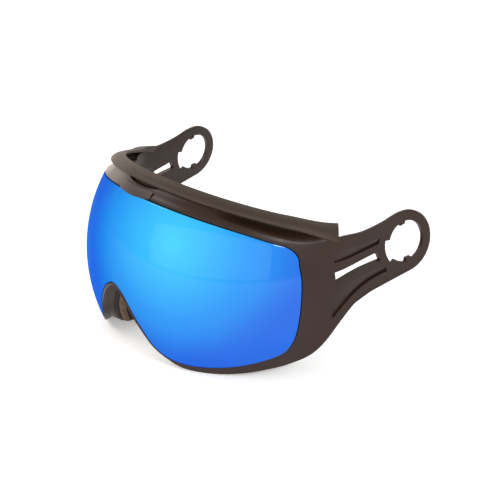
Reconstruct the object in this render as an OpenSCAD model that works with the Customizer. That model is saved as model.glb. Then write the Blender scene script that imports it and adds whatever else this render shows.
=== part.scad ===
// Helmet-mounted ski goggles: one moulded frame with two pierced ear rings, a spherical
// double lens that pulls off forwards, a rolled brow seal and a layered foam face gasket.
// Origin: middle of the line between the two ear-ring centres.
// +X is the wearer's left, -Y is forwards, +Z is up.

/* [Lens] */
// Radius of the lens's outer face, which is part of a ball
lens_r = 101; // [100:0.5:102]
// How far in front of the ear rings the foremost point of the lens lies
lens_reach = 135.4; // [134:0.2:137]
// Height of the middle of the lens ball above the ear rings
lens_ball_z = -28; // [-29:0.5:-27]
// Thickness of the outer, mirrored lens
outer_lens_t = 1.4; // [1.2:0.1:1.5]
// Thickness of the spacer gasket between the two lenses
gasket_t = 1.8; // [1.6:0.1:1.9]
// Thickness of the inner, clear lens
inner_lens_t = 0.7; // [0.6:0.1:0.8]
// Thickness of the rim behind the lenses that carries their magnets
lens_rim_t = 1.0; // [0.9:0.1:1.1]

/* [Frame] */
// Distance between the centres of the two ear rings, outer face to outer face
ear_span = 210; // [208:0.5:212]
// Play all round between the lens and the frame
lens_gap = 0.6; // [0.4:0.1:0.8]
// Width of the ledge that the lens rim lands on
ledge_w = 4.6; // [4.2:0.2:5]
// Thickness of that ledge
ledge_t = 1.2; // [1:0.1:1.4]
// Thickness of the skin at the frame's free edges
skin_t = 2.6; // [2.4:0.1:2.8]

/* [Ear rings] */
// Outer radius of an ear ring
ring_r = 18.6; // [18:0.1:20]
// Radius of the hole that the helmet's pivot cap goes through
ring_bore_r = 12.5; // [12:0.1:13]
// Thickness of an ear ring
ring_t = 3.4; // [3.2:0.1:3.8]
// Radius of the widened part of the hole
pocket_r = 15.7; // [15:0.1:16]
// Thickness of the two key lugs at the ring's inner face
lug_t = 0.9; // [0.6:0.1:1]
// Lean of the rings' tops towards the head, in degrees
ring_lean = 5.9; // [5:0.1:7]

/* [Face gasket] */
// Distance from the ear rings forwards to the wearer's forehead
face_reach = 99; // [98:0.5:101]
// Width of the foam, measured across its edge
foam_w = 9; // [8:0.5:10]

/* [Magnets] */
// Radius of the lens magnets and of the frame magnets
magnet_r = 1.9; // [1.5:0.1:2]

/* [Hidden] */
$fn = 48;
round_fn = 96;                                 // facets of the ear rings' circles
ball_fn = 160;                                 // facets of the lens ball

ball_y = lens_r - lens_reach;                  // middle of the lens ball
arm_turn = 83;                                 // where the plan stops curving, in degrees
arc_end = lens_r * arm_turn * PI / 180;        // the same place as a length along the plan
arm_x = lens_r * sin(arm_turn);
arm_y = ball_y - lens_r * cos(arm_turn);
arm_yaw = atan((ear_span / 2 - arm_x) / -arm_y);
blend_from = 118;                              // the ball fades into the flat arm from here
blend_to = 152;                                // to here

// Depths below the lens's outer face
ledge_play = 0.3;                              // between the lens rim and the ledge
rim_d = outer_lens_t + gasket_t + inner_lens_t;
ledge_d = rim_d + lens_rim_t + ledge_play;
wall_d = ledge_d + ledge_t;
flat_play = 0.2;                               // room for a band's flat facets on the ball

// Frame section
columns = 7;                                   // points across the skin, lens to free edge
wall_out = 3;                                  // outer face of the wall behind the skin
wall_in = lens_gap + 0.3;                      // inner face of that wall
wall_root_d = 2.4;                             // how much the skin thickens towards the wall
skin_start_d = 0.4;                            // the skin starts this far below the lens face
brow_dip = 1.8;                                // and dips this much more under the brow seal

// Ear rings, in the plane of their outer faces as [rearwards, up]
ring_s = arc_end + norm([ear_span / 2 - arm_x, arm_y]);
neck_u = -19;                                  // the necks meet the arms here
neck_play = 0.1;
neck_outline = [[neck_u + neck_play, 13.9], [-13, 15.8], [-5, 18], [-5, -18], [-12, -19.9],
                [neck_u + neck_play, -21.7]];
arm_end_s = ring_s + neck_u;
lug_r = 2.4;                                   // radius of a key lug's own outline
lug_out = 0.4;                                 // its centre lies this far outside the bore
lug_angles = [103, 279];                       // 0 is rearwards, 90 is up
relief = 0.8;                                  // the hole is this much wider around the lugs
pocket_wedge = [[0, 0], [-30, 7.5], [-30, -33]];
// The through slot of an arm, as [y, z]
arm_slot_points = [[-51.4, -6.8], [-21.5, -1.7], [-20.2, -7.3], [-51.8, -14]];

// Magnets, pins and screws, placed by the number of their station round the rim
magnet_stations = [7, 15, 21, 27];
magnet_play = 0.05;
pin_stations = [4, 31];
pin_r = 0.9;
pin_len = 2.1;
pin_play = 0.25;
pin_root_d = rim_d + 0.7;
pin_hole_len = 9;
screw_stations = [6, 12, 19, 26, 33];
screw_r = 0.7;
screw_len = 4;
screw_head_t = 0.7;
screw_sink = 1;                                // how deep the heads lie in the carrier
seal_play = 0.15;                              // between the seal's foot and the frame's edge
seal_pin_s = [57, 94];                         // lengths along the plan
seal_pin_r = 0.7;
seal_pin_len = 3;

// Face gasket
carrier_t = 2.6;
liner_t = 1.2;
foam_out = 2.4;                                // outer face of the foam, off the lens's edge
foam_in = foam_out - foam_w;
liner_inset = 0.3;
layer_play = 0.15;                             // between two layers
vent_t = 1.7;
vent_play = 0.4;

// Height of the frame's top edge at the brow, s along the plan
function brow_z(s) = 34.7 - 0.00118 * s * s;
// Half of the rim, from the brow round the side to the nose: each row holds a point of the
// lens's edge and the point of the frame's free edge beyond it, both as
// [length along the plan, height].
rim_rows = [
    [[0, 26.7], [0, brow_z(0)]], [[22, 26.1], [23, brow_z(23)]], [[45, 24.1], [47, brow_z(47)]],
    [[67, 20.9], [71, brow_z(71)]], [[87, 16.8], [95, brow_z(95)]],
    [[103, 12.4], [118, brow_z(118)]], [[114.5, 6.2], [140, 12]], [[120.7, -1.5], [162, 12.2]],
    [[121.7, -12], [arm_end_s, 13.9]], [[120.8, -24], [arm_end_s, -4]],
    [[119.7, -36], [arm_end_s, -21.7]], [[118, -46], [162, -25]], [[112.6, -54.8], [146, -39.5]],
    [[102, -59.6], [126, -60]],
    [[86, -64], [101, -67.6]], [[68, -66.9], [73, -71.6]], [[50, -67.6], [48, -72]],
    [[37.5, -64.8], [34.6, -68.2]], [[29, -58.4], [26.6, -60]], [[23, -49], [20.8, -50.2]],
    [[15.6, -37.5], [13.6, -39]], [[8.6, -28.9], [7.4, -31]], [[0, -25], [0, -27.4]]
];
rows = len(rim_rows);
per_row = 2;                                   // stations between two rows
stations = 2 * (rows - 1) * per_row;

// Smooth step from 0 to 1
function ease(t) = let (u = min(max(t, 0), 1)) u * u * (3 - 2 * u);
function mix(a, b, t) = a * (1 - t) + b * t;
function unit(v) = v / norm(v);

// Plan of the skin at length s: the arc of the lens ball, then a straight arm
function plan_angle(s) = sign(s) * min(abs(s) / lens_r * 180 / PI, arm_turn);
function plan(s) =
    let (beyond = max(abs(s) - arc_end, 0), a = plan_angle(s))
    [lens_r * sin(a) + sign(s) * beyond * sin(arm_yaw),
     ball_y - lens_r * cos(a) + beyond * cos(arm_yaw)];

// How far the skin lies inside its plan at height z: the ball's roundness at the front,
// the lean of the rings on the arms
function ball_drop(z) = lens_r - sqrt(lens_r * lens_r - (z - lens_ball_z) ^ 2);
function drop(s, z) =
    mix(ball_drop(z), tan(ring_lean) * z, ease((abs(s) - blend_from) / (blend_to - blend_from)));

// A point of the skin, and the point d below it
function skin(s, z, out = 0) =
    let (a = plan_angle(s), p = plan(s), r = out - drop(s, z))
    [p[0] + r * sin(a), p[1] - r * cos(a), z];
function ball_normal(s, z) =
    let (a = plan_angle(s), e = (z - lens_ball_z) / lens_r, c = sqrt(1 - e * e))
    [sin(a) * c, -cos(a) * c, e];
function under(p, d) = skin(p[0], p[1]) - d * ball_normal(p[0], p[1]);

// Rows of the whole rim, mirrored, and a smooth closed curve through one of their columns
function row(i) =
    let (n = 2 * (rows - 1), j = (i + n) % n)
    j < rows ? rim_rows[j] : [for (p = rim_rows[n - j]) [-p[0], p[1]]];
function curve(i, k) =
    let (a = row(i - 1), b = row(i), c = row(i + 1), d = row(i + 2))
    [for (col = [0, 1])
        let (p = a[col], q = b[col], r = c[col], t = d[col])
        0.5 * (2 * q + (r - p) * k + (2 * p - 5 * q + 4 * r - t) * k * k
            + (3 * q - p - 3 * r + t) * k * k * k)];
rim = [for (i = [0 : 2 * (rows - 1) - 1]) for (j = [0 : per_row - 1]) curve(i, j / per_row)];
function edge(i) = rim[(i + stations) % stations][0];
// The free edge stops where the ear rings' necks start
function free_edge(i) =
    let (p = rim[(i + stations) % stations][1]) [min(max(p[0], -arm_end_s), arm_end_s), p[1]];
function outward(i) = let (t = unit(edge(i + 1) - edge(i - 1))) [-t[1], t[0]];
function off_edge(i, o) = edge(i) + o * outward(i);
function towards(i, o) = edge(i) + o * unit(free_edge(i) - edge(i));

// The wearer's face, which the foam follows: forehead and cheeks, with the nose standing out
function face_y(x, z) =
    x * x / 125 - face_reach - 24 * exp(-(x / 26) ^ 2) * ease((-z - 5) / 30);
// From the frame's ledge to the face, at one station
function to_face(i) =
    let (p = under(edge(i), wall_d), x = 0.9 * p[0])
    [x - p[0], face_y(x, p[2]) - p[1], 0];
function face_depth(i) = norm(to_face(i));
// Where the pieces of the face gasket end, as millimetres behind the ledge: a share of the
// depth goes to the frame's wall, and the two foams share what the carrier and liner leave
function wall_end(i) = max(0.6, 0.55 * (face_depth(i) - 9));
function carrier_end(i) = wall_end(i) + carrier_t;
function soft_end(i) = face_depth(i) - liner_t;
function base_end(i) = mix(carrier_end(i), soft_end(i), 0.6);
function behind(i, o, b) = under(off_edge(i, o), wall_d) + b * unit(to_face(i));

// A closed band whose sections are given, one list of points for each station. Its four-sided
// faces are split the same way round on two bands that lie against each other.
module band(sections) {
    n = len(sections);
    m = len(sections[0]);
    polyhedron([for (section = sections) each section],
        [for (i = [0 : n - 1]) for (j = [0 : m - 1])
            let (a = i * m + j, b = i * m + (j + 1) % m,
                 c = ((i + 1) % n) * m + (j + 1) % m, d = ((i + 1) % n) * m + j)
            each 2 * j < m ? [[a, b, c], [a, c, d]] : [[a, b, d], [b, c, d]]]);
}

// An open strip with flat ends
module strip(sections) {
    n = len(sections);
    m = len(sections[0]);
    polyhedron([for (section = sections) each section],
        concat([[for (j = [m - 1 : -1 : 0]) j]], [[for (j = [0 : m - 1]) (n - 1) * m + j]],
            [for (i = [0 : n - 2]) for (j = [0 : m - 1])
                [i * m + j, i * m + (j + 1) % m, (i + 1) * m + (j + 1) % m, (i + 1) * m + j]]));
}

// A band around the lens's edge: o from o_in to o_out off the edge, d from d_top to d_low deep
module edge_band(o_in, o_out, d_top, d_low) {
    band([for (i = [0 : stations - 1])
        [under(off_edge(i, o_out), d_top), under(off_edge(i, o_out), d_low),
         under(off_edge(i, o_in), d_low), under(off_edge(i, o_in), d_top)]]);
}

// The space inside a cone from the middle of the lens ball through the edge moved by o
module lens_cone(o) {
    middle = [0, ball_y, lens_ball_z];
    reach = 1.6;
    tip = 1.5 * lens_r;
    polyhedron(
        concat([middle, middle - [0, tip, 0]],
            [for (i = [0 : stations - 1]) middle + reach * (under(off_edge(i, o), 0) - middle)]),
        [for (i = [0 : stations - 1]) each
            [[0, 2 + (i + 1) % stations, 2 + i], [1, 2 + i, 2 + (i + 1) % stations]]]);
}

// The shell of the lens ball between two depths
module ball_shell(d_top, d_low) {
    translate([0, ball_y, lens_ball_z])
        difference() {
            sphere(lens_r - d_top, $fn = ball_fn);
            sphere(lens_r - d_low, $fn = ball_fn);
        }
}

// Places children at a station, o off the edge and d deep, with +Z out of the ball
module at_rim(i, o, d) {
    p = off_edge(i, o);
    translate(under(p, d))
        rotate([90 - asin((p[1] - lens_ball_z) / lens_r), 0, plan_angle(p[0])]) children();
}

// Places children in an ear ring's plane: +X rearwards, +Y up, +Z away from the head
module at_ear(side) {
    mirror([side < 0 ? 1 : 0, 0, 0])
        translate([ear_span / 2, 0, 0])
            rotate([90, 0, 90 - arm_yaw]) rotate([-ring_lean, 0, 0]) children();
}

// Both sides of the symmetry plane
module both() {
    children();
    mirror([1, 0, 0]) children();
}

// Frame ---------------------------------------------------------------------------------
// How strongly a place on the skin belongs to the brow, which dips under the seal
function brow(p) = ease((p[1] + 5) / 12) * (1 - ease((abs(p[0]) - 105) / 40));
function skin_d(i, f) = skin_start_d * (1 - f) + brow_dip * brow(free_edge(i)) * ease(f);
// The wall's outer face, which stays inside a narrow skin
function wall_offset(i) = min(wall_out, norm(free_edge(i) - edge(i)) - 0.2);
function frame_section(i) =
    let (start = towards(i, lens_gap), finish = free_edge(i), root_o = wall_offset(i),
         root = towards(i, root_o))
    concat(
        [for (k = [0 : columns]) let (f = k / columns) under(mix(start, finish, f), skin_d(i, f))],
        [for (k = [0 : columns - 1]) let (g = k / columns)
            under(mix(finish, root, g), skin_d(i, 1) * (1 - g) + skin_t + wall_root_d * pow(g, 1.5))],
        [behind(i, root_o, wall_end(i)),
         behind(i, wall_in, wall_end(i)),
         behind(i, wall_in, 0.2),
         under(off_edge(i, -ledge_w), wall_d),
         under(off_edge(i, -ledge_w), ledge_d),
         under(off_edge(i, lens_gap), ledge_d)]);

// The keyed hole: the bore, with a widened pocket at the front
module ring_hole() {
    height = 3 * ring_t;
    cylinder(h = height, r = ring_bore_r, center = true, $fn = round_fn);
    intersection() {
        cylinder(h = height, r = pocket_r, center = true, $fn = round_fn);
        linear_extrude(height, center = true) polygon(pocket_wedge);
    }
    // Relief around the lugs, so that the pivot cap seats on them
    translate([0, 0, -ring_t - lug_t])
        cylinder(h = 2 * lug_t, r = ring_bore_r + relief, $fn = round_fn);
}

// Two key lugs, thinner than the ring and flush with its inner face
module key_lugs() {
    for (a = lug_angles)
        intersection() {
            translate([0, 0, -ring_t])
                cylinder(h = lug_t, r = ring_bore_r + 2 * relief, $fn = round_fn);
            rotate(a) translate([ring_bore_r + lug_out, 0, -ring_t])
                cylinder(h = lug_t, r = lug_r);
        }
}

// An ear ring with the neck that runs into its arm
module ear_ring(side) color([0.19, 0.16, 0.15]) at_ear(side) {
    difference() {
        translate([0, 0, -ring_t]) {
            cylinder(h = ring_t, r = ring_r, $fn = round_fn);
            linear_extrude(ring_t) polygon(neck_outline);
        }
        ring_hole();
    }
    key_lugs();
}

// The through slots between the louvres of both arms
module arm_slot() {
    rotate([90, 0, 90]) linear_extrude(2 * ear_span, center = true) polygon(arm_slot_points);
}

module magnet_places() {
    for (i = magnet_stations) both() at_rim(i, -ledge_w / 2, 0) children();
}

// Locating pins point straight back, the way the lens comes off
module pin_places() {
    for (i = pin_stations) both()
        translate(under(off_edge(i, -ledge_w / 2), pin_root_d)) rotate([-90, 0, 0]) children();
}

module seal_pin_places() {
    for (s = seal_pin_s) both()
        translate(under([s, brow_z(s)], brow_dip + skin_t / 2) - [0, 0, seal_pin_len / 2])
            children();
}

// Screws stand in the frame's wall, along the way to the face
module screw_places() {
    for (i = screw_stations) both() {
        v = to_face(i);
        translate(behind(i, (wall_out + wall_in) / 2, wall_end(i)))
            rotate([-90, 0, atan2(-v[0], v[1])]) children();
    }
}
// Height of the screw heads' undersides above the wall's end
head_z = carrier_t - screw_sink - screw_head_t;
module screw_hole() {
    translate([0, 0, head_z - screw_len]) cylinder(h = 2 * screw_len, r = screw_r);
    translate([0, 0, head_z]) cylinder(h = screw_len, r = 2 * screw_r);
}

module frame() color([0.19, 0.16, 0.15]) {
    difference() {
        band([for (i = [0 : stations - 1]) frame_section(i)]);
        arm_slot();
        magnet_places() translate([0, 0, -wall_d - 1])
            cylinder(h = 3, r = magnet_r + magnet_play);
        pin_places() cylinder(h = pin_hole_len, r = pin_r + pin_play);
        screw_places() screw_hole();
        seal_pin_places() cylinder(h = seal_pin_len, r = seal_pin_r);
    }
}

// Brow seal -----------------------------------------------------------------------------
seal_end_s = 145;
arm_top_z = 12.6;                              // the seal stays above this on the arms
lift_from = 125;                               // and rises onto them from here
lift_run = 15;
// Lip section as [outwards, share of the lip's height]: a bulging front that curls back over
// the brow. Its foot sits on the edge's end face.
lip = [[0, 0], [1.8, 0.1], [2.5, 0.33], [2.1, 0.6], [0.5, 0.84], [-2.2, 0.97], [-6.3, 1],
       [-6.4, 0.68], [-2.8, 0.63], [-0.7, 0.5], [0, 0.36], [-0.3, 0.27], [-1.4, 0.25]];
lip_rise = 4.5;                                // height over the brow's middle
lip_lean = 2;                                  // how much more it leans inwards at its ends
seal_steps = 36;
// The seal follows the brow, and stays on top of the arms at its ends
function seal_z(s) = mix(brow_z(s), arm_top_z, ease((abs(s) - lift_from) / lift_run)) + seal_play;
// It stands twice as high at its ends
function lip_top(s) = brow_z(s) + lip_rise * (1 + pow(abs(s) / seal_end_s, 3));
function lip_section(s) =
    let (p = [s, seal_z(s)], root = under(p, brow_dip * brow(p)), height = lip_top(s) - p[1],
         lean = lip_lean * abs(s) / seal_end_s, a = plan_angle(s), out = [sin(a), -cos(a), 0])
    concat(
        [for (q = lip) root + (q[0] - lean * q[1]) * out + [0, 0, q[1] * height]],
        [root - (skin_t - 0.2) * ball_normal(s, p[1])]);
module brow_seal() color([0.3, 0.26, 0.23]) {
    strip([for (k = [0 : seal_steps]) lip_section(mix(-seal_end_s, seal_end_s, k / seal_steps))]);
}
module seal_pins() color([0.5, 0.48, 0.46])
    seal_pin_places() cylinder(h = seal_pin_len, r = seal_pin_r);

// Lens ----------------------------------------------------------------------------------
module lens_layer(d_top, d_low, o) {
    intersection() {
        ball_shell(d_top, d_low);
        lens_cone(o);
    }
}
module outer_lens() color([0.16, 0.6, 0.95]) lens_layer(0, outer_lens_t, 0);
module inner_lens() color([0.8, 0.85, 0.9, 0.5])
    lens_layer(outer_lens_t + gasket_t, rim_d, -0.2);
module lens_gasket() color([0.1, 0.1, 0.1])
    edge_band(-ledge_w, -0.4, outer_lens_t, outer_lens_t + gasket_t - flat_play);
module lens_rim() color([0.14, 0.13, 0.13])
    difference() {
        edge_band(-ledge_w, -0.2, rim_d, rim_d + lens_rim_t);
        magnet_places() translate([0, 0, -rim_d - 2 * lens_rim_t])
            cylinder(h = 3 * lens_rim_t, r = magnet_r + magnet_play);
        pin_places() cylinder(h = pin_hole_len, r = pin_r, center = true);
    }
module lens_magnets() color([0.7, 0.7, 0.72])
    magnet_places() translate([0, 0, -rim_d - lens_rim_t])
        cylinder(h = lens_rim_t - 2 * magnet_play, r = magnet_r);
module frame_magnets() color([0.7, 0.7, 0.72])
    magnet_places() translate([0, 0, -wall_d]) cylinder(h = ledge_t - magnet_play, r = magnet_r);
module locating_pins() color([0.2, 0.2, 0.2])
    pin_places() cylinder(h = pin_len, r = pin_r);

// The pad by which the lens is pulled off, on the lens just over its top edge
tab_t = 1.2;
tab_outline = [[-17, 25.2], [17, 25.2], [14, 32.2], [-14, 32.2]];
module lens_tab() color([0.29, 0.26, 0.26])
    intersection() {
        ball_shell(-tab_t, 0);
        rotate([90, 0, 0]) linear_extrude(2 * lens_r) polygon(tab_outline);
    }

// Face gasket ---------------------------------------------------------------------------
// A closed band of the face gasket, from and to given for each station
module face_band(o_out, o_in, from, to) {
    band([for (i = [0 : stations - 1])
        [behind(i, o_out, from[i]), behind(i, o_out, to[i]),
         behind(i, o_in, to[i]), behind(i, o_in, from[i])]]);
}
every = [0 : stations - 1];
function starts(ends) = [for (e = ends) e + layer_play];
wall_ends = [for (i = every) wall_end(i)];
carrier_ends = [for (i = every) carrier_end(i)];
base_ends = [for (i = every) base_end(i)];
soft_ends = [for (i = every) soft_end(i)];
face_ends = [for (i = every) face_depth(i)];

module foam_carrier() color([0.13, 0.12, 0.12])
    difference() {
        face_band(wall_out, foam_in, wall_ends, carrier_ends);
        screw_places() screw_hole();
    }
module carrier_screws() color([0.6, 0.6, 0.6])
    screw_places() {
        translate([0, 0, head_z - screw_len]) cylinder(h = screw_len, r = screw_r);
        translate([0, 0, head_z]) cylinder(h = screw_head_t, r = 2 * screw_r);
    }
module base_foam() color([0.35, 0.31, 0.28])
    face_band(foam_out, foam_in, starts(carrier_ends), base_ends);
module soft_foam() color([0.25, 0.23, 0.22])
    face_band(foam_out, foam_in, starts(base_ends), soft_ends);
module fleece_liner() color([0.08, 0.08, 0.08])
    face_band(foam_out - liner_inset, foam_in + liner_inset, starts(soft_ends), face_ends);

// Strips of open foam over the vents in the frame's top and bottom walls
module vent_foam(first, last) {
    strip([for (i = [first : last])
        [behind(i, lens_gap, vent_play), behind(i, lens_gap, wall_end(i) - vent_play),
         behind(i, lens_gap - vent_t, wall_end(i) - vent_play),
         behind(i, lens_gap - vent_t, vent_play)]]);
}
module top_vent_foam() color([0.16, 0.15, 0.15]) both() vent_foam(4, 10);
module bottom_vent_foam() color([0.16, 0.15, 0.15]) both() vent_foam(27, 32);

frame();
ear_ring(1);  // ear_ring_left
ear_ring(-1);  // ear_ring_right
brow_seal();
seal_pins();
frame_magnets();
foam_carrier();
carrier_screws();
top_vent_foam();
bottom_vent_foam();
base_foam();
soft_foam();
fleece_liner();
outer_lens();
lens_gasket();
inner_lens();
lens_rim();
lens_magnets();
locating_pins();
lens_tab();
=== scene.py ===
import math

import bmesh
import bpy
import numpy as np
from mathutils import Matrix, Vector


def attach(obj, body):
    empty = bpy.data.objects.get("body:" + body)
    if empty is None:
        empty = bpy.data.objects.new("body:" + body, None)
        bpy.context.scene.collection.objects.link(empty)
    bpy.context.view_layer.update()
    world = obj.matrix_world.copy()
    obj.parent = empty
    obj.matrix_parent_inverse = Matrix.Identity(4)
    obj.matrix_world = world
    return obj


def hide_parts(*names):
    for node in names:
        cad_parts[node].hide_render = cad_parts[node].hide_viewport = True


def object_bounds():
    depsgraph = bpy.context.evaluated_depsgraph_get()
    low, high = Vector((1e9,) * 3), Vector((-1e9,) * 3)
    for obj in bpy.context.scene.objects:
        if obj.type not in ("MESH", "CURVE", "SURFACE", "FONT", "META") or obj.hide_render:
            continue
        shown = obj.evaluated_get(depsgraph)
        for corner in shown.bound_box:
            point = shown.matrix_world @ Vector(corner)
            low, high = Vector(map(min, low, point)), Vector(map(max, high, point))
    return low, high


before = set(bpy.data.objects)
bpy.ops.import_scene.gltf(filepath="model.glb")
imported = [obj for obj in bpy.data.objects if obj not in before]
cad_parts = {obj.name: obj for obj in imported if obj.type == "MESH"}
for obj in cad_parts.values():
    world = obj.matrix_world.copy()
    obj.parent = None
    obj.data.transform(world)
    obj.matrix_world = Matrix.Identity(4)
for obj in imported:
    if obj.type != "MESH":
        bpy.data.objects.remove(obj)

cad_low, cad_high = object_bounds()
MM = 0.001

# ---------------------------------------------------------------------------------------
# Driving dimensions, in millimetres, in the frame of the CAD model
# ---------------------------------------------------------------------------------------
LENS_R = 101.0          # the lens is part of a ball
BALL_Y = -34.4          # middle of that ball
BALL_Z = -28.0
OUTER_LENS_T = 1.4
GASKET_T = 1.8
INNER_LENS_T = 0.7
LENS_RIM_T = 1.0
LENS_GAP = 0.6          # between the lens and the frame, all round
LEDGE_W = 4.6           # the ledge that the lens rests on
LEDGE_T = 1.2
SEAT_GAP = 0.3          # between the lens's rim and the ledge
SKIN_T = 2.6            # the frame's skin
BROW_TOP_Z = 34.7       # the brow's free edge, and how it falls towards the temples
BROW_FALL = 0.00118
BROW_DIP = 1.8          # how much the skin dips on its way to that edge
EAR_SPAN = 210.0        # between the ear rings' outer faces
RING_R = 18.6
RING_BORE_R = 12.5
RING_LEAN = math.radians(5.9)
FACE_REACH = 99.0       # from the ear rings to the middle of the face
FACE_ROUNDNESS = 125.0
FACE_NARROWING = 0.9    # the gasket's width at the face, as a part of that at the lens
NOSE_REACH = 24.0       # how far the nose stands out of the face
NOSE_HALF = 26.0
WALL_OUT = 3.0          # how far the frame's wall reaches out past the lens's edge
WALL_SHARE = 0.55       # the wall's part of the depth, once FOAM_DEPTH is left for the foam
WALL_MIN = 0.6
WALL_MARGIN = 0.2       # how far it stays inside the frame's free edge
WALL_T_MIN = 0.8
FOAM_DEPTH = 9.0
FOAM_W = 9.0
FOAM_OUT = 2.4          # how far the foam reaches out past the lens's edge
BASE_SHARE = 0.6        # the base foam's part of the foam's depth
CARRIER_T = 2.6
LINER_T = 1.2
SEAL_END_S = 145.0
NOSE_WALL = 1.2         # depth of the frame's wall at the nose
NOSE_FOAM = 4.6         # and of the brown foam there
NOSE_FLARE = 3.0        # how much wall and foam narrow the nose gap
CORNER_FLARE = (0.95, 1.5)              # inwards and down, at the nose gap's lower corners
FLARE_GROWTH = [(0.8, 2.6), (0.3, 8)]   # shares of the flare, and the depth that each takes

ARM_TURN = math.radians(83)
ARC_END = LENS_R * ARM_TURN
ARM_X = LENS_R * math.sin(ARM_TURN)
ARM_Y = BALL_Y - LENS_R * math.cos(ARM_TURN)
ARM_YAW = math.atan2(EAR_SPAN / 2 - ARM_X, -ARM_Y)
RING_S = ARC_END + math.hypot(EAR_SPAN / 2 - ARM_X, ARM_Y)
BLEND_FROM, BLEND_TO = 118.0, 152.0     # where the ball turns into the flat arm
RIM_D = OUTER_LENS_T + GASKET_T + INNER_LENS_T
LEDGE_D = RIM_D + LENS_RIM_T + SEAT_GAP
WALL_D = LEDGE_D + LEDGE_T
FINE, COARSE = 10, 8    # stations between two rows of the rim


def ease(t):
    u = np.clip(t, 0.0, 1.0)
    return u * u * (3 - 2 * u)


def step(value, start, width):
    """0 up to start, then rising smoothly to 1 over width."""
    return ease((value - start) / width)


def mix(a, b, t):
    return a + (b - a) * t


def unit(v):
    return v / np.linalg.norm(v, axis=-1, keepdims=True)


def brow_z(s):
    return BROW_TOP_Z - BROW_FALL * np.square(s)


def ring_point(angle):
    """A point of the ear ring's outer edge as [length along the plan, height]."""
    a = math.radians(angle)
    return [RING_S + RING_R * math.cos(a), RING_R * math.sin(a) * math.cos(RING_LEAN)]


# Half of the rim: a point of the lens's edge, and the frame's free edge beyond it, both as
# [length along the plan, height]. On the arms the free edge runs round the ear ring.
RIM_ROWS = np.array([
    [[0, 26.7], [0, brow_z(0)]], [[22, 26.1], [23, brow_z(23)]], [[45, 24.1], [47, brow_z(47)]],
    [[67, 20.9], [71, brow_z(71)]], [[87, 16.8], [95, brow_z(95)]],
    [[103, 12.4], [118, brow_z(118)]], [[114.6, 8.8], [138, 12.2]], [[120.2, 3.8], [150, 12.4]],
    [[120.9, -2.6], [163, 12.2]], [[121.6, -8], [177, 14.6]], [[121.7, -12.5], ring_point(104)],
    [[121.5, -16], ring_point(75)], [[121.3, -19.5], ring_point(45)],
    [[121.1, -23], ring_point(15)], [[120.8, -26.5], ring_point(-15)],
    [[120.5, -30], ring_point(-45)], [[120.1, -33.5], ring_point(-75)],
    [[119.6, -37.5], ring_point(-104)], [[118.9, -42], [172, -22.2]],
    [[117.4, -47.5], [158.5, -26.3]], [[112.6, -54.8], [145, -37]], [[102, -59.6], [126, -60]],
    [[86, -64], [101, -67.6]], [[68, -66.9], [73, -71.6]], [[50, -67.6], [48.8, -71.3]],
    [[37.5, -64.8], [36.8, -66]], [[29, -58.4], [28.1, -59.2]], [[23, -49], [21.6, -49.8]],
    [[15.6, -37.5], [13.6, -39]], [[8.6, -28.9], [7.4, -31]], [[0, -25], [0, -27.4]],
])


def plan_angle(s):
    return np.sign(s) * np.minimum(np.abs(s) / LENS_R, ARM_TURN)


def skin(s, z, out=0.0):
    """The outer surface: the lens ball at the front, then a flat arm that leans inwards."""
    s, z = np.broadcast_arrays(np.asarray(s, float), np.asarray(z, float))
    a = plan_angle(s)
    beyond = np.maximum(np.abs(s) - ARC_END, 0)
    x = LENS_R * np.sin(a) + np.sign(s) * beyond * math.sin(ARM_YAW)
    y = BALL_Y - LENS_R * np.cos(a) + beyond * math.cos(ARM_YAW)
    ball = LENS_R - np.sqrt(np.maximum(LENS_R ** 2 - (z - BALL_Z) ** 2, 1.0))
    lean = math.tan(RING_LEAN) * z
    r = out - mix(ball, lean, step(np.abs(s), BLEND_FROM, BLEND_TO - BLEND_FROM))
    return np.stack([x + r * np.sin(a), y - r * np.cos(a), z], -1)


def normal(s, z):
    """Unit normal of the outer surface, pointing out."""
    h = 0.05
    ds = skin(s + h, z) - skin(s - h, z)
    dz = skin(s, z + h) - skin(s, z - h)
    return unit(np.cross(ds, dz))


def under(p, d):
    p = np.asarray(p, float)
    d = np.asarray(d, float)
    return skin(p[..., 0], p[..., 1]) - d[..., None] * normal(p[..., 0], p[..., 1])


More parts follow.
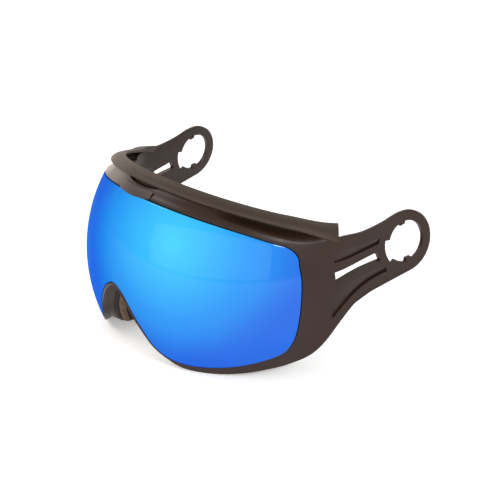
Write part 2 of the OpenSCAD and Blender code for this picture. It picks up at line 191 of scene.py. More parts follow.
class Rim:
    """The closed curves of the rim at a number of stations between two rows."""

    def __init__(self, per_row):
        mirrored = RIM_ROWS[-2:0:-1] * np.array([-1, 1])
        rows = np.concatenate([RIM_ROWS, mirrored])
        k = np.arange(per_row) / per_row
        p, q, r, t = (np.roll(rows, n, 0)[:, None] for n in (1, 0, -1, -2))
        k = k[None, :, None, None]
        points = 0.5 * (2 * q + (r - p) * k + (2 * p - 5 * q + 4 * r - t) * k ** 2
                        + (3 * q - p - 3 * r + t) * k ** 3)
        points = points.reshape(-1, 2, 2)
        self.edge, self.free = points[:, 0], points[:, 1]
        self.n = len(points)
        tangent = unit(np.roll(self.edge, -1, 0) - np.roll(self.edge, 1, 0))
        self.outward = np.stack([-tangent[:, 1], tangent[:, 0]], -1)
        self.along = unit(self.free - self.edge)
        self.width = np.linalg.norm(self.free - self.edge, axis=1)
        foot = under(self.edge, np.full(self.n, WALL_D))
        x = FACE_NARROWING * foot[:, 0]
        face = self.face_y(x, foot[:, 2])
        self.to_face = np.stack([x - foot[:, 0], face - foot[:, 1], 0 * x], -1)
        self.depth = np.linalg.norm(self.to_face, axis=1)
        self.to_face = unit(self.to_face)
        s, z = np.abs(self.edge[:, 0]), self.edge[:, 1]
        low = step(-z, 15, 10)
        self.near_nose = (1 - step(s, 42, 18)) * low
        inwards, down = CORNER_FLARE
        corner_way = np.stack([-inwards * np.sign(self.edge[:, 0]), np.full_like(s, -down)], -1)
        self.flare_way = mix(self.outward, corner_way, step(s, 26, 10)[:, None])
        near = (1 - step(s, 40, 14)) * low
        wall = np.maximum(WALL_MIN, WALL_SHARE * (self.depth - FOAM_DEPTH))
        self.wall_end = mix(wall, NOSE_WALL, near)
        self.carrier_end = self.wall_end + CARRIER_T
        self.soft_end = self.depth - LINER_T
        self.wall_outer = np.clip(self.width - WALL_MARGIN, 1.0, WALL_OUT)
        self.wall_inner = np.minimum(LENS_GAP + 0.3, self.wall_outer - WALL_T_MIN)
        self.base_end = mix(mix(self.carrier_end, self.soft_end, BASE_SHARE),
                            self.carrier_end + NOSE_FOAM, near)

    @staticmethod
    def face_y(x, z):
        """Where the wearer's face is: round from side to side, with a nose."""
        nose = NOSE_REACH * np.exp(-((x / NOSE_HALF) ** 2)) * step(-z, 5, 30)
        return x * x / FACE_ROUNDNESS - FACE_REACH - nose

    def off(self, o):
        """The lens's edge moved outwards by o."""
        return self.edge + np.asarray(o)[..., None] * self.outward

    def towards(self, o):
        """The same, along the line to the free edge."""
        return self.edge + np.asarray(o)[..., None] * self.along

    def behind(self, o, b):
        """The edge moved outwards by o, and b behind the ledge on the way to the face.

        At the nose it flares inwards and down on its way."""
        b = np.asarray(b)
        growth = sum(share * ease(b / reach) for share, reach in FLARE_GROWTH)
        flare = (NOSE_FLARE * self.near_nose * growth)[:, None] * self.flare_way
        base = under(self.off(np.broadcast_to(o, self.n)) + flare, np.full(self.n, WALL_D))
        return base + np.broadcast_to(b, self.n)[:, None] * self.to_face


def rounded(points, radii, steps=5):
    """A closed section with the corners that have a radius turned into short curves.

    points has the shape (corners, stations, 3)."""
    count = len(points)
    out = []
    for i in range(count):
        here, before, after = points[i], points[i - 1], points[(i + 1) % count]
        if not radii[i]:
            out.append(here)
            continue
        to_before, to_after = before - here, after - here
        len_b = np.linalg.norm(to_before, axis=-1, keepdims=True)
        len_a = np.linalg.norm(to_after, axis=-1, keepdims=True)
        start = here + to_before / len_b * np.minimum(radii[i], 0.45 * len_b)
        finish = here + to_after / len_a * np.minimum(radii[i], 0.45 * len_a)
        for k in range(steps):
            t = k / (steps - 1)
            out.append(start * (1 - t) ** 2 + 2 * here * t * (1 - t) + finish * t * t)
    return out


# ---------------------------------------------------------------------------------------
# Mesh helpers
# ---------------------------------------------------------------------------------------
def new_object(name, verts, faces, sharp=38.0):
    """A smooth-shaded mesh from points in millimetres."""
    mesh = bpy.data.meshes.new(name)
    mesh.from_pydata((np.asarray(verts) * MM).tolist(), [], faces)
    obj = bpy.data.objects.new(name, mesh)
    bpy.context.scene.collection.objects.link(obj)
    finish_mesh(obj, sharp)
    return obj


def finish_mesh(obj, sharp):
    """Merges doubled points, turns the faces outwards and marks the edges past sharp degrees."""
    bm = bmesh.new()
    bm.from_mesh(obj.data)
    bmesh.ops.remove_doubles(bm, verts=bm.verts, dist=1e-6)
    bmesh.ops.recalc_face_normals(bm, faces=bm.faces)
    limit = math.radians(sharp)
    for face in bm.faces:
        face.smooth = True
    for edge in bm.edges:
        edge.smooth = len(edge.link_faces) == 2 and edge.calc_face_angle(0) < limit
    bm.to_mesh(obj.data)
    bm.free()


def band(name, section, sharp=38.0):
    """A closed ring: section is a list of (stations, 3) arrays, one for each of its points."""
    grid = np.stack(section, 1)
    n, m = grid.shape[:2]
    faces = [
        (i * m + j, i * m + (j + 1) % m, (i + 1) % n * m + (j + 1) % m, (i + 1) % n * m + j)
        for i in range(n) for j in range(m)
    ]
    return new_object(name, grid.reshape(-1, 3), faces, sharp)


def strip(name, section, sharp=38.0):
    """An open sweep with closed ends."""
    grid = np.stack(section, 1)
    n, m = grid.shape[:2]
    faces = [
        (i * m + j, i * m + (j + 1) % m, (i + 1) * m + (j + 1) % m, (i + 1) * m + j)
        for i in range(n - 1) for j in range(m)
    ]
    faces.append(tuple(range(m - 1, -1, -1)))
    faces.append(tuple((n - 1) * m + j for j in range(m)))
    return new_object(name, grid.reshape(-1, 3), faces, sharp)


def slab(name, low, high):
    """A closed block between two grids of points of the same shape, low under high."""
    n, m = low.shape[:2]
    faces = []

    def at(side, i, j):
        return side * n * m + i * m + j

    for i in range(n - 1):
        for j in range(m - 1):
            for side in (0, 1):
                faces.append((at(side, i, j), at(side, i, j + 1),
                              at(side, i + 1, j + 1), at(side, i + 1, j)))
    rim = [(i, 0) for i in range(n)] + [(n - 1, j) for j in range(1, m)]
    rim += [(i, m - 1) for i in range(n - 2, -1, -1)] + [(0, j) for j in range(m - 2, 0, -1)]
    for k, (i, j) in enumerate(rim):
        a, b = rim[(k + 1) % len(rim)]
        faces.append((at(0, i, j), at(0, a, b), at(1, a, b), at(1, i, j)))
    return new_object(name, np.concatenate([low.reshape(-1, 3), high.reshape(-1, 3)]), faces)


def cut(obj, cutters):
    """Subtracts the cutters from obj and deletes them."""
    for cutter in cutters:
        mod = obj.modifiers.new("cut", "BOOLEAN")
        mod.operation = "DIFFERENCE"
        mod.solver = "EXACT"
        mod.object = cutter
    bpy.context.view_layer.update()
    depsgraph = bpy.context.evaluated_depsgraph_get()
    mesh = bpy.data.meshes.new_from_object(obj.evaluated_get(depsgraph))
    obj.modifiers.clear()
    old = obj.data
    obj.data = mesh
    bpy.data.meshes.remove(old)
    for cutter in cutters:
        bpy.data.objects.remove(cutter)


# ---------------------------------------------------------------------------------------
# Materials
# ---------------------------------------------------------------------------------------
class Shader:
    """A Principled material with short calls for its procedural nodes."""

    def __init__(self, name, colour, roughness, **sockets):
        self.material = bpy.data.materials.new(name)
        self.material.use_nodes = True
        self.nodes = self.material.node_tree.nodes
        self.links = self.material.node_tree.links
        self.bsdf = self.nodes["Principled BSDF"]
        self.set("Base Color", (*colour, 1.0))
        self.set("Roughness", roughness)
        for key, value in sockets.items():
            self.set(key.replace("_", " "), value)
        self.place = self.nodes.new("ShaderNodeTexCoord").outputs["Object"]

    def set(self, socket, value):
        self.bsdf.inputs[socket].default_value = value

    def noise(self, scale, detail=3.0, rough=0.55):
        node = self.nodes.new("ShaderNodeTexNoise")
        node.inputs["Scale"].default_value = scale
        node.inputs["Detail"].default_value = detail
        node.inputs["Roughness"].default_value = rough
        self.links.new(self.place, node.inputs["Vector"])
        return node.outputs["Fac"]

    def cells(self, scale):
        node = self.nodes.new("ShaderNodeTexVoronoi")
        node.inputs["Scale"].default_value = scale
        self.links.new(self.place, node.inputs["Vector"])
        return node.outputs["Distance"]

    def span(self, value, low, high, to_low, to_high, smooth=False):
        node = self.nodes.new("ShaderNodeMapRange")
        node.interpolation_type = "SMOOTHSTEP" if smooth else "LINEAR"
        for key, number in zip(("From Min", "From Max", "To Min", "To Max"),
                               (low, high, to_low, to_high)):
            node.inputs[key].default_value = number
        self.links.new(value, node.inputs["Value"])
        return node.outputs["Result"]

    def blend(self, factor, colour_a, colour_b):
        """A mix of two colours, each a tuple or another node's output."""
        node = self.nodes.new("ShaderNodeMix")
        node.data_type = "RGBA"
        self.links.new(factor, node.inputs["Factor"])
        for key, colour in (("A", colour_a), ("B", colour_b)):
            socket = [i for i in node.inputs if i.name == key and i.type == "RGBA"][0]
            if isinstance(colour, tuple):
                socket.default_value = (*colour, 1.0)
            else:
                self.links.new(colour, socket)
        return [o for o in node.outputs if o.type == "RGBA"][0]

    def distance_from(self, place):
        node = self.nodes.new("ShaderNodeVectorMath")
        node.operation = "DISTANCE"
        node.inputs[1].default_value = place
        self.links.new(self.place, node.inputs[0])
        return node.outputs["Value"]

    def facing(self):
        node = self.nodes.new("ShaderNodeLayerWeight")
        node.inputs["Blend"].default_value = 0.5
        return node.outputs["Facing"]

    def drive(self, socket, value):
        self.links.new(value, self.bsdf.inputs[socket])

    def bump(self, *layers):
        """Each layer is (height, strength, distance in metres)."""
        last = None
        for height, strength, distance in layers:
            node = self.nodes.new("ShaderNodeBump")
            node.inputs["Strength"].default_value = strength
            node.inputs["Distance"].default_value = distance
            self.links.new(height, node.inputs["Height"])
            if last is not None:
                self.links.new(last, node.inputs["Normal"])
            last = node.outputs["Normal"]
        self.links.new(last, self.bsdf.inputs["Normal"])


def moulded_plastic(name, dark, light, roughness, grain=0.35, shine=0.35):
    """Satin moulded plastic: a fine spark-eroded grain and slow changes of shade and gloss."""
    m = Shader(name, dark, roughness, Specular_IOR_Level=shine)
    slow = m.noise(18.0, 2.0)
    fine = m.noise(2600.0, 2.0)
    m.drive("Base Color", m.blend(m.span(slow, 0.3, 0.7, 0.0, 1.0), dark, light))
    m.drive("Roughness", m.span(m.noise(60.0, 4.0), 0.3, 0.7, roughness - 0.05, roughness + 0.06))
    m.bump((fine, grain, 0.00004), (m.noise(420.0, 3.0), 0.08, 0.0001))
    return m.material


def foam(name, dark, light, cell, depth):
    """Open-cell foam: pores of two sizes, pale cell walls, no gloss."""
    m = Shader(name, dark, 0.95, Specular_IOR_Level=0.05, Sheen_Weight=0.05, Sheen_Roughness=0.6)
    pores = m.cells(cell)
    small = m.cells(cell * 2.7)
    fleck = m.noise(cell * 0.9, 5.0, 0.7)
    m.drive("Base Color", m.blend(m.span(fleck, 0.35, 0.7, 0.0, 1.0), dark, light))
    m.bump((pores, 0.9, depth), (small, 0.6, depth * 0.5), (fleck, 0.5, depth))
    return m.material


def brushed_fleece(name, dark, light):
    """Short pile on the face side of the gasket, with tufts and a soft sheen."""
    m = Shader(name, dark, 1.0, Specular_IOR_Level=0.1, Sheen_Weight=0.3, Sheen_Roughness=0.45,
               Sheen_Tint=(0.5, 0.48, 0.46, 1.0))
    pile = m.noise(1500.0, 6.0, 0.75)
    tufts = m.noise(380.0, 3.0, 0.6)
    m.drive("Base Color", m.blend(m.span(pile, 0.35, 0.7, 0.0, 1.0), dark, light))
    m.bump((tufts, 0.6, 0.0004), (pile, 0.8, 0.0003))
    return m.material


def mirror_coating(name):
    """A blue mirror coating over a tinted lens, with a painted reflection in its colour: bright cyan
    round a spot high on the lens, fading to deep blue at the edges and low down."""
    m = Shader(name, (0.02, 0.3, 0.85), 0.3, Specular_IOR_Level=0.0, Coat_Roughness=0.02,
               Coat_IOR=1.5)
    # painted reflection: the colour is brightest cyan round this spot and fades to deep blue away
    # from it
    far = m.distance_from((0.039, -0.120, 0.010))
    near = m.blend(m.span(far, 0.0, 0.045, 0.0, 1.0), (0.032, 0.45, 0.70), (0.010, 0.225, 0.64))
    painted_reflection = m.blend(m.span(far, 0.040, 0.078, 0.0, 1.0, smooth=True), near, (0.009, 0.100, 0.56))
    cloud = m.span(m.noise(14.0, 2.0), 0.35, 0.65, 0.0, 0.12)
    m.drive("Base Color", m.blend(cloud, painted_reflection, (0.03, 0.36, 0.85)))
    m.drive("Coat Weight", m.span(m.facing(), 0.15, 0.55, 0.55, 0.02))
    m.bump((m.noise(700.0, 2.0), 0.02, 0.00003))
    return m.material


def clear_lens(name):
    m = Shader(name, (0.86, 0.9, 0.92), 0.03, Transmission_Weight=1.0, IOR=1.49)
    m.drive("Roughness", m.span(m.noise(40.0, 3.0), 0.3, 0.7, 0.02, 0.05))
    return m.material


def metal(name, colour, roughness):
    m = Shader(name, colour, roughness, Metallic=1.0)
    m.drive("Roughness", m.span(m.noise(900.0, 3.0), 0.3, 0.7, roughness - 0.08, roughness + 0.1))
    m.bump((m.noise(2500.0, 2.0), 0.15, 0.00003))
    return m.material


def studio_floor(name):
    m = Shader(name, (0.9, 0.9, 0.9), 0.85, Emission_Strength=0.32, Emission_Color=(1, 1, 1, 1))
    m.drive("Roughness", m.span(m.noise(6.0, 2.0), 0.3, 0.7, 0.8, 0.95))
    return m.material


FRAME_MAT = moulded_plastic("frame_plastic", (0.022, 0.0105, 0.0070), (0.028, 0.0140, 0.0096), 0.34,
                            shine=0.26)
# lighter and warmer than the frame: painted light, copying the brighter shading of the seal's upward
# faces
SEAL_MAT = moulded_plastic("seal_rubber", (0.034, 0.0200, 0.0125), (0.042, 0.0260, 0.0165), 0.58, 0.5)
HARD_MAT = moulded_plastic("hard_plastic", (0.008, 0.0050, 0.0038), (0.011, 0.0072, 0.0054), 0.5,
                           shine=0.15)
TAB_MAT = moulded_plastic("tab_plastic", (0.032, 0.0180, 0.0145), (0.038, 0.0220, 0.0180), 0.38)
BASE_FOAM_MAT = foam("base_foam", (0.045, 0.028, 0.018), (0.26, 0.17, 0.105), 900.0, 0.0005)
# near-black soft foam: its own dark colour, darkened further with painted shade for the shadowed foam
# in the nose gap
SOFT_FOAM_SHADE_MAT = foam("soft_foam", (0.006, 0.004, 0.003), (0.014, 0.010, 0.008), 1300.0, 0.0004)
VENT_MAT = foam("vent_foam", (0.015, 0.014, 0.013), (0.05, 0.046, 0.043), 500.0, 0.0009)
FLEECE_MAT = brushed_fleece("fleece", (0.012, 0.011, 0.011), (0.03, 0.028, 0.027))
MIRROR_MAT = mirror_coating("mirror_lens")
CLEAR_MAT = clear_lens("clear_lens")
GASKET_MAT = foam("gasket_foam", (0.012, 0.012, 0.012), (0.03, 0.03, 0.03), 1800.0, 0.0002)
STEEL_MAT = metal("steel", (0.5, 0.49, 0.47), 0.3)


def finish_piece(obj, body, slot, material, *nodes):
    """Gives a piece its material and its body, and hides the CAD nodes that it stands for."""
    obj.data.materials.clear()
    obj.data.materials.append(material)
    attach(obj, body)
    if nodes:
        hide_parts(*nodes)


# ---------------------------------------------------------------------------------------
# Camera, lights and floor
# ---------------------------------------------------------------------------------------
def make_camera():
    """The photo's view."""
    azimuth, elevation = math.radians(51.13), math.radians(23.23)
    forward = Vector((-math.sin(azimuth) * math.cos(elevation),
                      math.cos(azimuth) * math.cos(elevation), -math.sin(elevation)))
    data = bpy.data.cameras.new("camera")
    data.lens = 90.05
    data.sensor_width = 36.0
    data.clip_end = 20.0
    camera = bpy.data.objects.new("camera", data)
    camera.location = (0.5695, -0.4912, 0.2819)
    camera.rotation_euler = forward.to_track_quat("-Z", "Y").to_euler()
    bpy.context.scene.collection.objects.link(camera)
    bpy.context.scene.camera = camera


def area_light(name, location, target, size, power, colour=(1, 1, 1)):
    data = bpy.data.lights.new(name, "AREA")
    data.shape = "RECTANGLE"
    data.size, data.size_y = size
    data.energy = power
    data.color = colour
    lamp = bpy.data.objects.new(name, data)
    lamp.location = location
    aim = Vector(target) - Vector(location)
    lamp.rotation_euler = aim.to_track_quat("-Z", "Y").to_euler()
    bpy.context.scene.collection.objects.link(lamp)


def make_studio():
    """A pale floor under a white sky, a key light and three reflecting cards."""
    scene = bpy.context.scene
    scene.view_settings.view_transform = "Standard"
    world = bpy.data.worlds.new("world")
    world.use_nodes = True
    world.node_tree.nodes["Background"].inputs["Color"].default_value = (1, 1, 1, 1)
    world.node_tree.nodes["Background"].inputs["Strength"].default_value = 0.66
    scene.world = world
    middle = (0.0, -0.07, -0.02)
    area_light("key", (-0.75, -0.95, 1.1), middle, (0.9, 0.7), 9, (1.0, 0.93, 0.86))
    area_light("left_card", (-1.25, 0.05, 0.30), middle, (1.3, 0.7), 6, (1.0, 0.86, 0.74))
    area_light("front_card", (0.42, -0.98, 0.24), middle, (1.9, 0.55), 3.4)
    area_light("shoulder_card", (1.08, -0.22, 0.68), middle, (0.25, 0.18), 5.5)
    half = 6.0
    corners = [(x * half, y * half, cad_low[2]) for x, y in ((-1, -1), (1, -1), (1, 1), (-1, 1))]
    mesh = bpy.data.meshes.new("floor")
    mesh.from_pydata(corners, [], [(0, 1, 2, 3)])
    mesh.materials.append(studio_floor("floor"))
    floor = bpy.data.objects.new("floor", mesh)
    bpy.context.scene.collection.objects.link(floor)


# ---------------------------------------------------------------------------------------
# Frame
# ---------------------------------------------------------------------------------------
SKIN_START_D = 0.4      # how far the skin lies under the lens's face at the gap
WALL_ROOT_D = 2.4       # how much thicker it is where the wall leaves it
SKIN_COLUMNS = 26
UNDER_COLUMNS = 14
RECESS_D = 4.4          # the recess under the seal: its depth, its middle and half its length
RECESS_S = 104.0
RECESS_HALF = 27.0


def brow(s, z):
    """1 on the brow, 0 on the arms and the lower half."""
    return step(z, -5, 12) * (1 - step(np.abs(s), 105, 40))


def recess(s):
    """How much deeper the skin dips under the seal towards the temples."""
    return RECESS_D * np.exp(-(((np.abs(s) - RECESS_S) / RECESS_HALF) ** 4))


def skin_depth(rim, f):
    """How far the skin dips under the ball, at the part f of the way to the free edge."""
    s, z = rim.free[:, 0], rim.free[:, 1]
    under_seal = recess(s) * step(z, -5, 12) * step(f, 0.34, 0.62)
    return SKIN_START_D * (1 - f) + BROW_DIP * brow(s, z) * step(f, 0.15, 0.75) + under_seal


def make_frame_shell():
    """The lens seat, the skin out to the free edge and back under it, and the wall."""
    rim = Rim(FINE)
    start, finish = rim.towards(np.full(rim.n, LENS_GAP)), rim.free
    root = rim.towards(rim.wall_outer)
    corners, radii = [], []

    def corner(points, radius=0.0):
        corners.append(points)
        radii.append(radius)

    corner(under(rim.off(np.full(rim.n, LENS_GAP)), np.full(rim.n, LEDGE_D)))
    corner(under(start, skin_depth(rim, 0.0)), 0.5)
    for k in range(1, SKIN_COLUMNS):
        f = k / SKIN_COLUMNS
        corner(under(mix(start, finish, f), skin_depth(rim, f)))
    end_d = skin_depth(rim, 1.0)
    corner(under(finish, end_d), 0.9)
    corner(under(finish, end_d + SKIN_T), 0.7)
    for k in range(1, UNDER_COLUMNS):
        g = k / UNDER_COLUMNS
        d = end_d * (1 - g) + SKIN_T + WALL_ROOT_D * g ** 1.5
        corner(under(mix(finish, root, g), d))
    corner(rim.behind(rim.wall_outer, rim.wall_end), 0.3)
    corner(rim.behind(rim.wall_inner, rim.wall_end), 0.3)
    corner(rim.behind(rim.wall_inner, 0.2))
    corner(under(rim.off(np.full(rim.n, -LEDGE_W)), np.full(rim.n, WALL_D)), 0.25)
    corner(under(rim.off(np.full(rim.n, -LEDGE_W)), np.full(rim.n, LEDGE_D)), 0.25)
    return band("frame_shell", rounded(corners, radii))


def ear_place(side, u, v, w):
    """Points of an ear ring's plane: u rearwards, v up, w away from the head."""
    cy, sy = math.cos(ARM_YAW), math.sin(ARM_YAW)
    cl, sl = math.cos(RING_LEAN), math.sin(RING_LEAN)
    x = EAR_SPAN / 2 + u * sy + (w * cl - v * sl) * cy
    y = u * cy - (w * cl - v * sl) * sy
    z = v * cl + w * sl
    return np.stack([side * x, y, z], -1)


# The keyed hole's pocket and lugs, at angles in degrees, 0 rearwards and 90 up
POCKET_R = 15.7
POCKET_FROM, POCKET_TO, POCKET_RAMP = 165.0, 226.5, 2.5
LUGS = [(104, 1.7), (279, 2.2)]         # middle, height
LUG_HALF, LUG_RAMP = 12.0, 3.5
HOLE_CUT = 6.0          # how far the cutter reaches to both sides of the ring's outer face


def hole_radius(a):
    pocket = step(a, POCKET_FROM, POCKET_RAMP) * (1 - step(a, POCKET_TO, POCKET_RAMP))
    r = RING_BORE_R + (POCKET_R - RING_BORE_R) * pocket
    for middle, height in LUGS:
        r = r - height * ease((LUG_HALF - np.abs(a - middle)) / LUG_RAMP)
    return r


def hole_cutter(side):
    """The keyed hole of an ear ring."""
    angles = np.linspace(0, 360, 288, endpoint=False)
    r = hole_radius(angles)
    u, v = r * np.cos(np.radians(angles)), r * np.sin(np.radians(angles))
    n = len(angles)
    points = np.concatenate([ear_place(side, u, v, np.full(n, w)) for w in (-HOLE_CUT, HOLE_CUT)])
    faces = [(i, (i + 1) % n, n + (i + 1) % n, n + i) for i in range(n)]
    faces += [tuple(range(n - 1, -1, -1)), tuple(range(n, 2 * n))]
    return new_object("cutter", points, faces)


def cubic(points, t):
    """The cubic curve through four points, at the parts t of its way."""
    fit = np.polyfit(np.linspace(0, 1, len(points)), points, 3)
    return np.stack([np.polyval(fit[:, axis], t) for axis in (0, 1)], -1)


def between(top, bottom, top_depth, bottom_depth, side):
    """A cutter on an arm between two lines, its floor sloping between the two given depths."""
    t = np.linspace(0, 1, 40)
    v = np.linspace(0, 1, 10)[None, :, None]
    grid = cubic(top, t)[:, None] * (1 - v) + cubic(bottom, t)[:, None] * v
    s, z = side * grid[..., 0], grid[..., 1]
    depth = np.broadcast_to(top_depth * (1 - v[..., 0]) + bottom_depth * v[..., 0], s.shape)
    return slab("cutter", skin(s, z, -depth), skin(s, z, CUTTER_RISE))


# Lines on the arms as (length along the plan, height): the slot goes right through, and the
# floor of the upper and the lower louvre slopes inwards
SLOT_TOP = [(142.0, -7.7), (151.0, -6.1), (160.0, -4.2), (171.6, -1.9)]
SLOT_BOTTOM = [(142.6, -14.6), (154.0, -10.8), (164.0, -8.7), (173.8, -7.4)]
UPPER_TOP = [(140.3, 6.3), (151.0, 5.1), (161.5, 5.0), (174.4, 6.8)]
UPPER_BOTTOM = [(142.1, -2.0), (152.0, -0.9), (163.0, 1.0), (173.0, 2.6)]
LOWER_TOP = [(140.4, -17.2), (153.0, -13.4), (164.6, -11.9), (177.2, -11.4)]
LOWER_BOTTOM = [(139.6, -34.9), (147.6, -27.6), (160.0, -20.0), (178.6, -15.0)]
THROUGH = 9.0           # deeper than the arm is thick
LOUVRE_START = 0.02     # depth of a louvre's floor at its upper line, and at its lower one
UPPER_D, LOWER_D = 1.5, 1.7
CUTTER_RISE = 3.0       # how far the cutters stand out of the skin


def arm_cutters(side):
    return [
        between(SLOT_TOP, SLOT_BOTTOM, THROUGH, THROUGH, side),
        between(UPPER_TOP, UPPER_BOTTOM, LOUVRE_START, UPPER_D, side),
        between(LOWER_TOP, LOWER_BOTTOM, LOUVRE_START, LOWER_D, side),
        hole_cutter(side),
    ]


FINGER_SLOT = (-16.5, 21.0)             # its ends along the plan
FINGER_SLOT_Z = 32.5
FINGER_SLOT_HALF = 1.25
FINGER_SLOT_D = 4.5


def finger_slot():
    """The slot behind the lens tab, narrowing to round ends."""
    start, end = FINGER_SLOT
    middle, half = (start + end) / 2, (end - start) / 2 + 0.15
    s = np.linspace(start, end, 60)[:, None]
    v = np.linspace(-1, 1, 6)[None, :]
    round_ends = np.sqrt(np.clip(1 - ((s - middle) / half) ** 2, 0.01, 1))
    z = FINGER_SLOT_Z + FINGER_SLOT_HALF * v * round_ends
    s = np.broadcast_to(s, z.shape)
    return slab("cutter", skin(s, z, -FINGER_SLOT_D), skin(s, z, 2.0))


def make_frame():
    shell = make_frame_shell()
    cut(shell, [c for side in (-1, 1) for c in arm_cutters(side)] + [finger_slot()])
    finish_mesh(shell, 32.0)
    finish_piece(shell, "frame", "frame_plastic", FRAME_MAT, "frame", "ear_ring_left",
                 "ear_ring_right")


# ---------------------------------------------------------------------------------------
# Brow seal
# ---------------------------------------------------------------------------------------
# Section as [outwards, share of the height]: a bulging front that curls back over the brow
LIP = np.array([[0, 0], [1.8, 0.1], [2.5, 0.33], [2.1, 0.6], [0.5, 0.84], [-2.2, 0.97], [-6.3, 1],
                [-6.4, 0.78], [-2.6, 0.72], [-0.5, 0.6], [0.3, 0.42], [0.1, 0.25], [-0.8, 0.1]])
LIP_STEPS = 6           # points of the smoothed section for each of these
LIP_TIP = 6.5           # between the two points of its rear edge
LIP_RISE = 4.0
LIP_GROWTH = 0.52       # how much taller it is at its ends
LIP_LEAN = 4.0          # how far its top leans in there
LIP_THINNING = 0.75     # how much it loses of its bulge and its inner side there
END_SLANT = 0.72        # how much its cut ends slant back
SEAL_SINK = 0.5         # how far its foot lies under the frame's free edge


def smooth_section(points, corners, steps):
    """A closed Catmull-Rom curve through the points, with the numbered ones kept as corners."""
    n = len(points)
    out = []
    for i in range(n):
        q, r = points[i], points[(i + 1) % n]
        p = q if i in corners else points[i - 1]
        t = r if (i + 1) % n in corners else points[(i + 2) % n]
        for k in np.arange(steps) / steps:
            out.append(0.5 * (2 * q + (r - p) * k + (2 * p - 5 * q + 4 * r - t) * k ** 2
                              + (3 * q - p - 3 * r + t) * k ** 3))
    return np.array(out)


def make_brow_seal():
    """The lip, which rolls over along the brow and stands up flat at the temples."""
    s = np.linspace(-SEAL_END_S, SEAL_END_S, 260)
    curl = np.abs(s) / SEAL_END_S
    z = brow_z(s)
    place = np.stack([s, z], -1)
    sunk = place - [0, SEAL_SINK]
    depth = BROW_DIP * brow(s, z)
    on_arm = step(np.abs(s), 128, 10)
    root = under(place, mix(depth, -0.35, on_arm))
    foot = under(sunk, mix(depth + recess(s) + 0.6, 0.2, on_arm))
    heel = under(sunk, depth + recess(s) + SKIN_T)
    a = plan_angle(s)
    out = np.stack([np.sin(a), -np.cos(a), 0 * a], -1)
    back = np.stack([0 * a, 1 + 0 * a, 0 * a], -1)
    up = np.array([0, 0, 1.0])
    height = LIP_RISE * (1 + LIP_GROWTH * curl ** 3)
    section = []
    for k, (bulge, share) in enumerate(smooth_section(LIP, (0, 6, 7, 12), LIP_STEPS)):
        if k > LIP_TIP * LIP_STEPS:
            share = share * (1 - LIP_THINNING * curl ** 6)
        if bulge > 0:
            bulge = bulge * (1 - LIP_THINNING * curl ** 8)
        inwards = LIP_LEAN * curl ** 2 * share - bulge
        section.append(root - inwards[:, None] * out + (share * height)[:, None] * up
                       + (END_SLANT * curl ** 12 * inwards)[:, None] * back)
    section += [heel, foot]
    seal = strip("brow_lip", section, 42.0)
    finish_piece(seal, "frame", "seal_rubber", SEAL_MAT, "brow_seal")


# ---------------------------------------------------------------------------------------
# Lens
# ---------------------------------------------------------------------------------------
def lens_shell(name, o, d_top, d_low, rounding):
    """A panel of the lens between two depths, with a softened front edge."""
    rim = Rim(FINE)
    rings = 46

    def ring(f, depth, inset=0.0):
        edge = rim.off(np.full(rim.n, o - inset))
        return under(edge * f, np.full(rim.n, depth))

    fractions = [(k / rings) ** 0.8 for k in range(1, rings + 1)]
    front = [ring(f, d_top, rounding) for f in fractions]
    side = [ring(1.0, d_top + rounding * (1 - math.cos(a)), rounding * (1 - math.sin(a)))
            for a in np.radians([30, 60, 90])]
    back = [ring(f, d_low) for f in reversed(fractions)]
    loops = front + side + back
    n = rim.n
    verts = np.concatenate(loops + [under(np.zeros((1, 2)), np.array([d])) for d in (d_top, d_low)])
    faces = [(i * n + j, i * n + (j + 1) % n, (i + 1) * n + (j + 1) % n, (i + 1) * n + j)
             for i in range(len(loops) - 1) for j in range(n)]
    first, last = len(loops) * n, (len(loops) - 1) * n
    faces += [(first, (j + 1) % n, j) for j in range(n)]
    faces += [(first + 1, last + j, last + (j + 1) % n) for j in range(n)]
    return new_object(name, verts, faces, 40.0)


def edge_band(name, o_in, o_out, d_top, d_low, radius):
    """A band along the lens's edge, between two offsets from it and two depths."""
    rim = Rim(COARSE)

    def at(o, d):
        return under(rim.off(np.full(rim.n, o)), np.full(rim.n, d))

    corners = [at(o_out, d_top), at(o_out, d_low), at(o_in, d_low), at(o_in, d_top)]
    return band(name, rounded(corners, [radius] * 4))


TAB_CORNERS = np.array([[-18.2, 26.4], [17.6, 27.1], [18.6, 31.2], [-14.6, 31.2]])
TAB_CORNER_R = 1.3
TAB_SAG = 0.7           # how much its lower edge hangs down over the lens in the middle
TAB_RISE = 0.32
TAB_ROUND = 0.25
TAB_BASE = 0.02         # height of its underside over the skin


def tab_outline():
    outline = []
    for i, here in enumerate(TAB_CORNERS):
        before, after = TAB_CORNERS[i - 1], TAB_CORNERS[(i + 1) % 4]
        a = here + unit(before - here) * TAB_CORNER_R
        b = here + unit(after - here) * TAB_CORNER_R
        c = after + unit(here - after) * TAB_CORNER_R
        for t in np.linspace(0, 1, 12):
            outline.append(a * (1 - t) ** 2 + 2 * here * t * (1 - t) + b * t * t)
        sag = TAB_SAG if i == 0 else 0.0
        for t in np.linspace(0, 1, 50)[1:-1]:
            outline.append(mix(b, c, t) - [0, sag * math.sin(math.pi * t)])
    return np.array(outline)


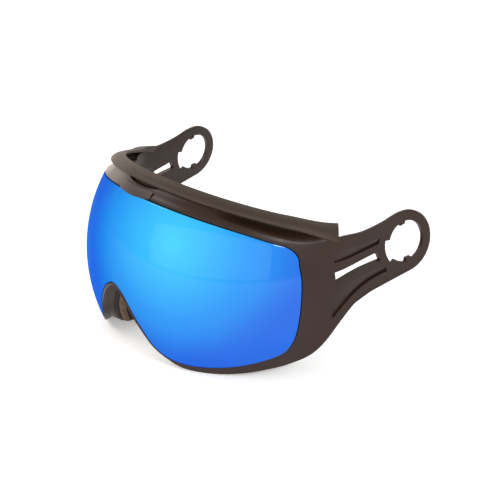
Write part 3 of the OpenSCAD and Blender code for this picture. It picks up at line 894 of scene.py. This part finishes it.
def make_tab():
    """A low pad with softened edges and a plain face."""
    outline = tab_outline()
    centre = TAB_CORNERS.mean(0)
    n = len(outline)
    loops = [skin(outline[:, 0], outline[:, 1], h) for h in (TAB_BASE, TAB_RISE - TAB_ROUND)]
    tangent = unit(np.roll(outline, -1, 0) - np.roll(outline, 1, 0))
    inward = np.stack([-tangent[:, 1], tangent[:, 0]], -1)
    for a in np.radians([30, 60, 90]):
        p = outline + inward * TAB_ROUND * (1 - math.cos(a))
        loops.append(skin(p[:, 0], p[:, 1], TAB_RISE - TAB_ROUND * (1 - math.sin(a))))
    flat = outline + inward * TAB_ROUND
    for f in np.linspace(1, 0.02, 40)[1:]:
        p = centre + (flat - centre) * f
        loops.append(skin(p[:, 0], p[:, 1], TAB_RISE))
    faces = [(i * n + j, i * n + (j + 1) % n, (i + 1) * n + (j + 1) % n, (i + 1) * n + j)
             for i in range(len(loops) - 1) for j in range(n)]
    last = (len(loops) - 1) * n
    faces.append(tuple(last + j for j in range(n)))
    faces.append(tuple(range(n - 1, -1, -1)))
    tab = new_object("grip_tab", np.concatenate(loops), faces, 45.0)
    finish_piece(tab, "lens", "tab_plastic", TAB_MAT, "lens_tab")


def make_lens():
    """Two panes with a spacer between them, the rim that holds the magnets, and the tab."""
    outer = lens_shell("mirror_lens", 0.0, 0.0, OUTER_LENS_T, 0.35)
    finish_piece(outer, "lens", "mirror_lens", MIRROR_MAT, "outer_lens")
    inner = lens_shell("clear_lens", -0.2, OUTER_LENS_T + GASKET_T, RIM_D, 0.1)
    finish_piece(inner, "lens", "clear_lens", CLEAR_MAT, "inner_lens")
    gasket = edge_band("spacer_gasket", -LEDGE_W, -0.4, OUTER_LENS_T, OUTER_LENS_T + GASKET_T, 0.3)
    finish_piece(gasket, "lens", "gasket_foam", GASKET_MAT, "lens_gasket")
    rim = edge_band("magnet_rim", -LEDGE_W, -0.2, RIM_D, RIM_D + LENS_RIM_T, 0.2)
    finish_piece(rim, "lens", "hard_plastic", HARD_MAT, "lens_rim")
    make_tab()


# ---------------------------------------------------------------------------------------
# Face gasket
# ---------------------------------------------------------------------------------------
def face_band(name, rim, o_out, o_in, start, end, radius, bulge):
    """One layer of the face gasket, its sides swelling by bulge between its faces."""
    levels = [0.0, 0.33, 0.67, 1.0]
    places = [(o_out, 1, f) for f in levels] + [(o_in, -1, f) for f in reversed(levels)]
    corners = [rim.behind(o + way * bulge * math.sin(math.pi * f), mix(start, end, f))
               for o, way, f in places]
    radii = [radius if f in (0.0, 1.0) else 0 for _, _, f in places]
    return band(name, rounded(corners, radii), 60.0)


def make_face_gasket():
    """The carrier and the three soft layers behind it."""
    rim = Rim(COARSE)
    inner = FOAM_OUT - FOAM_W
    outer = np.minimum(FOAM_OUT, rim.wall_outer)
    carrier = face_band("gasket_carrier", rim, rim.wall_outer, inner, rim.wall_end,
                        rim.carrier_end, 0.4, 0.0)
    finish_piece(carrier, "frame", "hard_plastic", HARD_MAT, "foam_carrier")
    base = face_band("base_foam_ring", rim, outer, inner, rim.carrier_end, rim.base_end, 0.7, 0.5)
    finish_piece(base, "frame", "base_foam", BASE_FOAM_MAT, "base_foam")
    soft = face_band("soft_foam_ring", rim, outer, inner, rim.base_end, rim.soft_end, 0.7, 0.5)
    finish_piece(soft, "frame", "soft_foam", SOFT_FOAM_SHADE_MAT, "soft_foam")
    liner = face_band("fleece_ring", rim, outer - 0.1, inner + 0.1, rim.soft_end, rim.depth,
                      0.55, 0.2)
    finish_piece(liner, "frame", "fleece", FLEECE_MAT, "fleece_liner")


def paint_nodes():
    """The CAD nodes that stay, with their finished materials."""
    kept = {
        "seal_pins": HARD_MAT, "frame_magnets": STEEL_MAT, "carrier_screws": STEEL_MAT,
        "lens_magnets": STEEL_MAT, "locating_pins": HARD_MAT,
        "top_vent_foam": VENT_MAT, "bottom_vent_foam": VENT_MAT,
    }
    for name, material in kept.items():
        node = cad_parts[name]
        node.data.materials.clear()
        node.data.materials.append(material)


make_camera()
make_studio()
make_frame()
make_brow_seal()
make_lens()
make_face_gasket()
paint_nodes()
